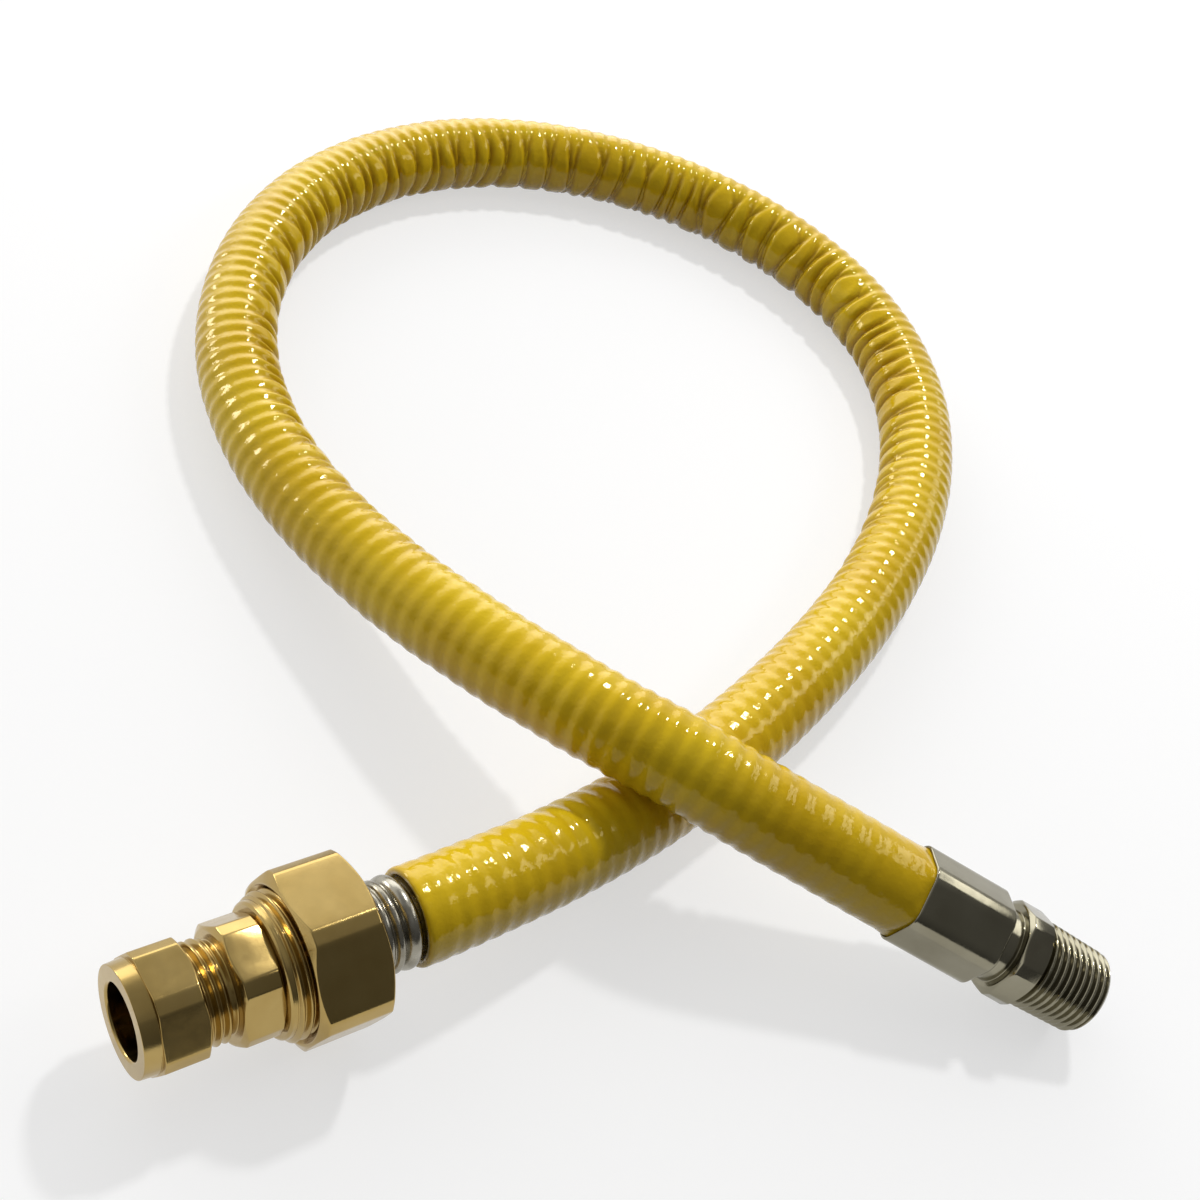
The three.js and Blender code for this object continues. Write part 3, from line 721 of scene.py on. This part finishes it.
# Sealing washer
# A flat washer of pressed green fibre, trapped between the body and the tube's flange.
washer_angles = turn_angles()
washer_profile = soften(outline(washer_angles, [
    (40.4, 7.9), (39.3, 7.9), (39.3, 13.58), (41.3, 13.58), (41.3, 7.9), (40.6, 7.9),
]), 0.2)
washer = turned_piece("sealing_washer_fibre", washer_angles, washer_profile, BRASS_AXIS_START, STRAIGHT)
fibre, tree, shader = new_material("fibre")
tone = add_effect(tree, mottling, Size_per_metre=2500, Low=0, High=1)
green = mix_colours(tree, tone.outputs["Value"], (0.02, 0.075, 0.05, 1), (0.045, 0.13, 0.09, 1))
tree.links.new(green, shader.inputs["Base Color"])
dull = add_effect(tree, mottling, Size_per_metre=900, Low=0.7, High=0.9)
tree.links.new(dull.outputs["Value"], shader.inputs["Roughness"])
felt = add_effect(tree, grain, Size_per_metre=6000, Strength=1)
bump(tree, shader, felt.outputs["Value"], 0.5, 0.0001)
washer.data.materials.append(fibre)
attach(washer, "hose")
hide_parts("sealing_washer")

# Union nut
# The large brass nut. Its lip pulls on the split ring, and its thread draws the tube's
# flange up to the body. It is cut from hexagon bar, with broken corners and coned ends.
UNION_AF = 34
UNION_ROLL = 107.1
union_angles = turn_angles(*hexagon_corners(UNION_AF, UNION_ROLL))
union_bar = hexagon_bar(union_angles, UNION_AF, UNION_ROLL, 32.2, 48.4, 16.6)
union_outside = soften(outline(union_angles, [
    (33.2, 15.4), (32.2, 16.2), *union_bar, (48.4, 10.3), (48, 9.9), (45.6, 9.9),
]), 0.3)
union_seat = soften(outline(union_angles, [
    (45.5, 9.9), (45.4, 9.9), (45.4, 13.1), (42.8, 13.1), (41.6, 15.4), (41, 15.4),
]), 0.15)
union_thread = thread(
    union_angles, 33.2, 40.8, LARGE_THREAD + THREAD_GAP, LARGE_THREAD_DEPTH, LARGE_PITCH
)
union_nut = turned_piece(
    "union_nut_brass", union_angles,
    np.concatenate([union_outside, union_seat, union_thread[::-1]]), BRASS_AXIS_START, STRAIGHT,
)
union_nut.data.materials.append(brass)
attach(union_nut, "union")
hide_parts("union_nut")

# Retaining ring
# A split ring of stainless wire that is sprung into the tube's first valley. It is a bent
# bar, open by a small gap at the top.
ring_open = math.degrees(1.35 / 11)
ring_angles = np.linspace(90 + ring_open, 450 - ring_open, 90)
ring_section = np.array([
    (43.15, 9.0), (43.1, 9.4), (43.1, 12.4), (43.2, 12.7), (43.5, 12.78), (44.7, 12.78),
    (45.0, 12.7), (45.1, 12.4), (45.1, 9.4), (45.05, 9.0), (44.7, 8.88), (43.5, 8.88),
])
ring_rings = []
for angle in np.radians(ring_angles):
    x, r = ring_section.T
    ring_rings.append(np.stack([x, r * math.cos(angle), r * math.sin(angle)], axis=1) * MM)
ring_rings = np.array(ring_rings) + np.array(BRASS_AXIS_START)
# each end of the ring is closed to a point at its middle
for end in (0, -1):
    middle = ring_rings[end].mean(axis=0)
    cap = np.repeat(middle[None], len(ring_section), axis=0)[None]
    ring_rings = np.vstack([cap, ring_rings] if end == 0 else [ring_rings, cap])
retaining_ring = ring_mesh(
    "retaining_ring_stainless", ring_rings, np.linspace(0, 1, 12, endpoint=False),
    np.linspace(0, 70 * MM, len(ring_rings)), closed=False,
)
retaining_ring.data.materials.append(stainless)
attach(retaining_ring, "hose")
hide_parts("retaining_ring")

# Ferrule
# A plated steel sleeve, pushed over the hose and crimped to a hexagon with round corners.
# Its far end is turned in over the nipple's collar.
FERRULE_AF = 21.8
FERRULE_CORNER = 4.8
ferrule_angles = np.arange(0, 360, 2)
crimp = crimped_radius(ferrule_angles, FERRULE_AF, FERRULE_CORNER)
crimp_inside = crimped_radius(ferrule_angles, CRIMPED_AF, CRIMPED_CORNER)
ferrule_profile = soften(outline(ferrule_angles, [
    (9, crimp_inside), (0.3, crimp_inside), (0, crimp_inside + 0.3), (0, crimp - 0.25),
    (0.3, crimp), (22.1, crimp), (22.6, crimp - 0.5), (22.6, 9.5), (22.4, 9.32),
    (18.9, 9.32), (18.8, 9.5), (18.8, crimp_inside - 0.2), (18.6, crimp_inside), (10, crimp_inside),
]), 0.5)
ferrule = turned_piece(
    "ferrule_plated", ferrule_angles, ferrule_profile, FERRULE_EDGE, FERRULE_TURN, flat_faces=False
)

nickel, tree, shader = new_material("nickel_plate")
shader.inputs["Metallic"].default_value = 1
tone = add_effect(tree, mottling, Size_per_metre=90, Low=0, High=1)
plate = mix_colours(tree, tone.outputs["Value"], (0.24, 0.22, 0.155, 1), (0.30, 0.28, 0.205, 1))
tree.links.new(plate, shader.inputs["Base Color"])
gloss = add_effect(tree, mottling, Size_per_metre=260, Low=0.1, High=0.2)
tree.links.new(gloss.outputs["Value"], shader.inputs["Roughness"])
marks = add_effect(tree, turning, Along=5000, Around=4, Strength=0.5)
dimples = add_effect(tree, mottling, Size_per_metre=240, Low=0, High=1)
relief = add(tree, marks.outputs["Value"], dimples.outputs["Value"])
bump(tree, shader, relief, 0.18, 0.0001)
ferrule.data.materials.append(nickel)
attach(ferrule, "hose")
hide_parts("ferrule")

# Nipple
# A plated steel nipple: a collar that the ferrule holds, a round neck, a hexagon with large
# chamfers, and a male taper pipe thread of about ten turns.
NIPPLE_AF = 22
NIPPLE_ROLL = 145
nipple_angles = turn_angles(*hexagon_corners(NIPPLE_AF, NIPPLE_ROLL))
nipple_bar = hexagon_bar(nipple_angles, NIPPLE_AF, NIPPLE_ROLL, 26.8, 33.8, 10.5)
nipple_thread = thread(
    nipple_angles, 34.3, 51.9, 10.63, SMALL_THREAD_DEPTH, SMALL_PITCH, taper=1 / 16,
    lead_in=0.6, lead_out=1.2,
)
nipple_profile = np.concatenate([
    soften(outline(nipple_angles, [
        (16, 7.3), (14.4, 7.3), (14.4, 9.82), (18.4, 9.82), (18.5, 9), (26.8, 9), *nipple_bar[:3],
    ]), 0.25),
    soften(outline(nipple_angles, [nipple_bar[2], nipple_bar[3], (33.8, 9.6), (34.2, 9.5)]), 0.15)[1:],
    nipple_thread,
    soften(outline(nipple_angles, [
        (52, 8.8), (52, 7.6), (51.7, 7.3), (30, 7.3), (20, 7.3),
    ]), 0.25),
])
nipple = turned_piece("nipple_plated", nipple_angles, nipple_profile, FERRULE_EDGE, FERRULE_TURN)
nipple.data.materials.append(nickel)
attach(nipple, "hose")
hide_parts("nipple")

# Floor and light
# A plain white floor in a room with a wide bright window behind the hose, a paler ceiling
# and a dim near side. A small ceiling lamp gives each rib of the cover its own highlight,
# and a strip lamp beyond the plated end gives the ferrule's round corner its bright line.
# To camera and reflected rays the floor adds a white of its own, so its shadow is pale.
floor_mesh = bpy.data.meshes.new("floor")
floor_mesh.from_pydata([(-4, -4, 0), (4, -4, 0), (4, 4, 0), (-4, 4, 0)], [], [(0, 1, 2, 3)])
floor = bpy.data.objects.new("floor", floor_mesh)
floor.location.z = -0.0001
bpy.context.scene.collection.objects.link(floor)
paper, tree, shader = new_material("paper")
seen = tree.nodes.new("ShaderNodeLightPath")
direct = add(tree, seen.outputs["Is Camera Ray"], seen.outputs["Is Glossy Ray"])
direct = add(tree, direct, seen.outputs["Is Transmission Ray"])
white = mix_colours(tree, direct, (0, 0, 0, 1), (0.6, 0.6, 0.6, 1))
tree.links.new(white, shader.inputs["Emission Color"])
shader.inputs["Emission Strength"].default_value = 1
shader.inputs["Base Color"].default_value = (0.38, 0.38, 0.38, 1)
shader.inputs["Roughness"].default_value = 0.9
shader.inputs["Specular IOR Level"].default_value = 0.1
floor_mesh.materials.append(paper)


HOSE_MIDDLE = Vector((0.05, 0.1, 0))


def lamp(name, place, along, size, power):
    """An area lamp that faces the middle of the hose. Its first side lies along a direction."""
    place = Vector(place)
    back = (place - HOSE_MIDDLE).normalized()
    first = (Vector(along) - back * back.dot(Vector(along))).normalized()
    data = bpy.data.lights.new(name, "AREA")
    data.shape = "RECTANGLE"
    data.size, data.size_y = size
    data.energy = power
    light = bpy.data.objects.new(name, data)
    light.matrix_world = Matrix.Translation(place) @ Matrix(
        (first, back.cross(first), back)
    ).transposed().to_4x4()
    bpy.context.scene.collection.objects.link(light)


lamp("ceiling_lamp", (0.77, 0.62, 1.27), (1, 0, 0), (0.12, 0.12), 11)
lamp("window", (0.45, 1.47, 0.48), (1, 0, 0), (1.6, 0.9), 8)
lamp("side_window", (-0.65, 1.42, 0.22), (1, 0, 0), (0.5, 0.3), 5)
lamp("strip", (1.26, -0.12, 0.93), (0.55, 0.78, -0.68), (1.17, 0.28), 3.2)

world = bpy.data.worlds.new("room")
bpy.context.scene.world = world
world.use_nodes = True
room = world.node_tree
background = room.nodes["Background"]
direction = room.nodes.new("ShaderNodeTexCoord")
toward = room.nodes.new("ShaderNodeSeparateXYZ")
room.links.new(direction.outputs["Generated"], toward.inputs["Vector"])


def room_ramp(steps):
    """A grey that changes with the height of the direction that a ray leaves in."""
    ramp = room.nodes.new("ShaderNodeValToRGB")
    room.links.new(toward.outputs["Z"], ramp.inputs["Fac"])
    stops = ramp.color_ramp.elements
    for _ in range(len(steps) - len(stops)):
        stops.new(0.5)
    for stop, (position, grey) in zip(stops, steps):
        stop.position = position
        stop.color = (grey, grey, grey, 1)
    return ramp.outputs["Color"]


back = room.nodes.new("ShaderNodeMapRange")
back.interpolation_type = "SMOOTHSTEP"
back.inputs["From Min"].default_value = -0.2
back.inputs["From Max"].default_value = 0.5
room.links.new(toward.outputs["Y"], back.inputs["Value"])
near_side = room_ramp([(0, 0.08), (0.32, 0.12), (0.75, 0.16), (0.95, 0.35)])
window_side = room_ramp([(0, 0.6), (0.15, 1), (0.65, 1), (0.78, 0.45), (0.95, 0.35)])
surroundings = mix_colours(room, back.outputs["Result"], near_side, window_side)
room.links.new(surroundings, background.inputs["Color"])

bpy.context.scene.view_settings.view_transform = "Standard"
